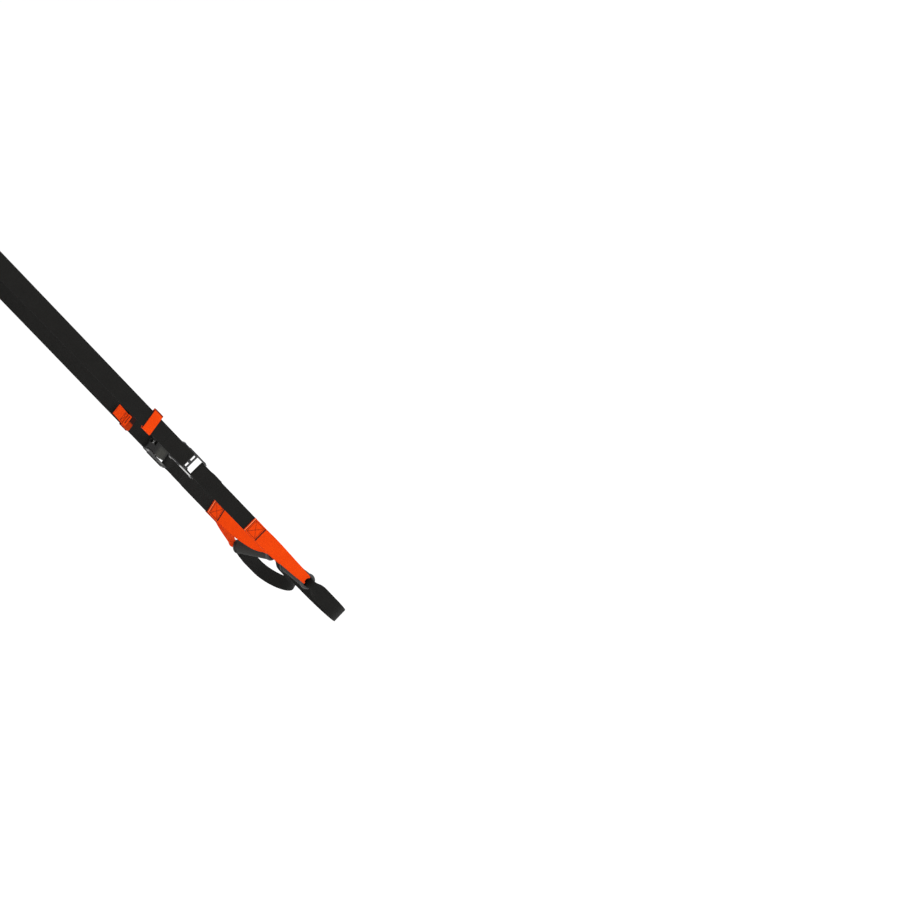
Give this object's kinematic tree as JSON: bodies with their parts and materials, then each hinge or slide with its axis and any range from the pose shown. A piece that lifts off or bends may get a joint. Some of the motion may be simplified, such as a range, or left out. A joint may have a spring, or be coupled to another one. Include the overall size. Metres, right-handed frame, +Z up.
{
  "type": "suspension trainer",
  "caption": "Suspension trainer: webbing straps on a carabiner, adjusted by cam buckles, each ending in a foam hand grip with a foot cradle below it.",
  "frame": {"origin": "inner top of the carabiner, where it hangs on its anchor", "axes": "+Z up along the hanging trainer; +X towards the right-hand strap, outward; +Y across the webbing, towards the carabiner's gate"},
  "size_m": [0.3442, 0.0872, 1.4569],
  "materials": {
    "black_webbing": "woven black polyester webbing with ribbed edges",
    "orange_webbing": "woven orange polyester webbing",
    "zinc_steel": "zinc-plated steel",
    "dark_steel": "black-coated pressed steel",
    "grip_foam": "matte grey closed-cell foam",
    "black_plastic": "moulded black plastic"
  },
  "bodies": {
    "carabiner": {"carabiner_body": "zinc_steel", "gate_pin": "dark_steel"},
    "gate": {"carabiner_gate_bar": "zinc_steel", "gate_spring": "zinc_steel"},
    "left_strap": {"left_main_strap": "black_webbing"},
    "left_buckle": {"left_buckle_frame": "dark_steel", "left_cam_pin": "zinc_steel", "left_lower_bar": "zinc_steel", "left_strap_tail": "black_webbing"},
    "left_lever": {"left_cam_lever": "dark_steel", "left_cam_spring": "zinc_steel"},
    "left_tab": {"left_tab_loop": "orange_webbing", "left_tab_pull": "orange_webbing"},
    "left_handle": {"left_lower_strap": "black_webbing", "left_handle_webbing": "orange_webbing"},
    "left_grip": {"left_grip_tube": "black_plastic", "left_grip_foam": "grip_foam", "left_inner_grip_cap": "black_plastic", "left_outer_grip_cap": "black_plastic"},
    "left_cradle": {"left_foot_cradle": "black_webbing"},
    "right_strap": {"right_main_strap": "black_webbing"},
    "right_buckle": {"right_buckle_frame": "dark_steel", "right_cam_pin": "zinc_steel", "right_lower_bar": "zinc_steel", "right_strap_tail": "black_webbing"},
    "right_lever": {"right_cam_lever": "dark_steel", "right_cam_spring": "zinc_steel"},
    "right_tab": {"right_tab_loop": "orange_webbing", "right_tab_pull": "orange_webbing"},
    "right_handle": {"right_lower_strap": "black_webbing", "right_handle_webbing": "orange_webbing"},
    "right_grip": {"right_grip_tube": "black_plastic", "right_grip_foam": "grip_foam", "right_inner_grip_cap": "black_plastic", "right_outer_grip_cap": "black_plastic"},
    "right_cradle": {"right_foot_cradle": "black_webbing"}
  },
  "joints": [
    {"name": "gate_hinge", "type": "hinge", "parent": "carabiner", "child": "gate", "pos_m": [0, 0.02507, -0.022], "axis": [-1, 0, 0], "range_deg": [0, 25], "stiffness_Nm_per_rad": 0.3, "springref_deg": -20.05},
    {"name": "left_swing", "type": "hinge", "parent": "carabiner", "child": "left_strap", "pos_m": [0, -0.0124, -0.1], "axis": [0, 1, 0], "range_deg": [0, 45]},
    {"name": "left_adjust", "type": "slide", "parent": "left_strap", "child": "left_buckle", "axis": [0.0872, 0, 0.9962], "range_m": [-0.035, 0.22], "deforming": ["left_main_strap"]},
    {"name": "left_lever_press", "type": "hinge", "parent": "left_buckle", "child": "left_lever", "pos_m": [-0.05165, -0.00733, -0.85025], "axis": [-0.3407, 0.9397, 0.0298], "range_deg": [0, 20], "stiffness_Nm_per_rad": 0.12, "springref_deg": -22.92},
    {"name": "left_tab_slide", "type": "slide", "parent": "left_buckle", "child": "left_tab", "axis": [0.0872, 0, 0.9962], "range_m": [-0.035, 0.22], "deforming": ["left_strap_tail"]},
    {"name": "left_lower_swing", "type": "hinge", "parent": "left_buckle", "child": "left_handle", "pos_m": [-0.06558, -0.01042, -0.91207], "axis": [-0.3407, 0.9397, 0.0298], "range_deg": [-4.5, 40]},
    {"name": "left_grip_spin", "type": "hinge", "parent": "left_handle", "child": "left_grip", "pos_m": [-0.09338, -0.00864, -1.28597], "axis": [-0.9361, -0.342, 0.0819], "continuous": true},
    {"name": "left_cradle_swing", "type": "hinge", "parent": "left_handle", "child": "left_cradle", "pos_m": [-0.09338, -0.00864, -1.28597], "axis": [-0.9361, -0.342, 0.0819], "range_deg": [-50, 50]},
    {"name": "right_swing", "type": "hinge", "parent": "carabiner", "child": "right_strap", "pos_m": [0, 0.0124, -0.1], "axis": [0, -1, 0], "range_deg": [0, 45]},
    {"name": "right_adjust", "type": "slide", "parent": "right_strap", "child": "right_buckle", "axis": [-0.0872, 0, 0.9962], "range_m": [-0.035, 0.22], "deforming": ["right_main_strap"]},
    {"name": "right_lever_press", "type": "hinge", "parent": "right_buckle", "child": "right_lever", "pos_m": [0.05076, 0.0124, -0.85033], "axis": [0, -1, 0], "range_deg": [0, 20], "stiffness_Nm_per_rad": 0.12, "springref_deg": -22.92},
    {"name": "right_tab_slide", "type": "slide", "parent": "right_buckle", "child": "right_tab", "axis": [-0.0872, 0, 0.9962], "range_m": [-0.035, 0.22], "deforming": ["right_strap_tail"]},
    {"name": "right_lower_swing", "type": "hinge", "parent": "right_buckle", "child": "right_handle", "pos_m": [0.06523, 0.0124, -0.91211], "axis": [0, -1, 0], "range_deg": [-4.5, 40]},
    {"name": "right_grip_spin", "type": "hinge", "parent": "right_handle", "child": "right_grip", "pos_m": [0.10342, 0.0124, -1.28208], "axis": [0.9962, 0, 0.0872], "continuous": true},
    {"name": "right_cradle_swing", "type": "hinge", "parent": "right_handle", "child": "right_cradle", "pos_m": [0.10342, 0.0124, -1.28208], "axis": [0.9962, 0, 0.0872], "range_deg": [-50, 50]}
  ],
  "couplings": [
    {"joint": "left_tab_slide", "follows": "left_adjust", "ratio": 1},
    {"joint": "right_tab_slide", "follows": "right_adjust", "ratio": 1}
  ]
}
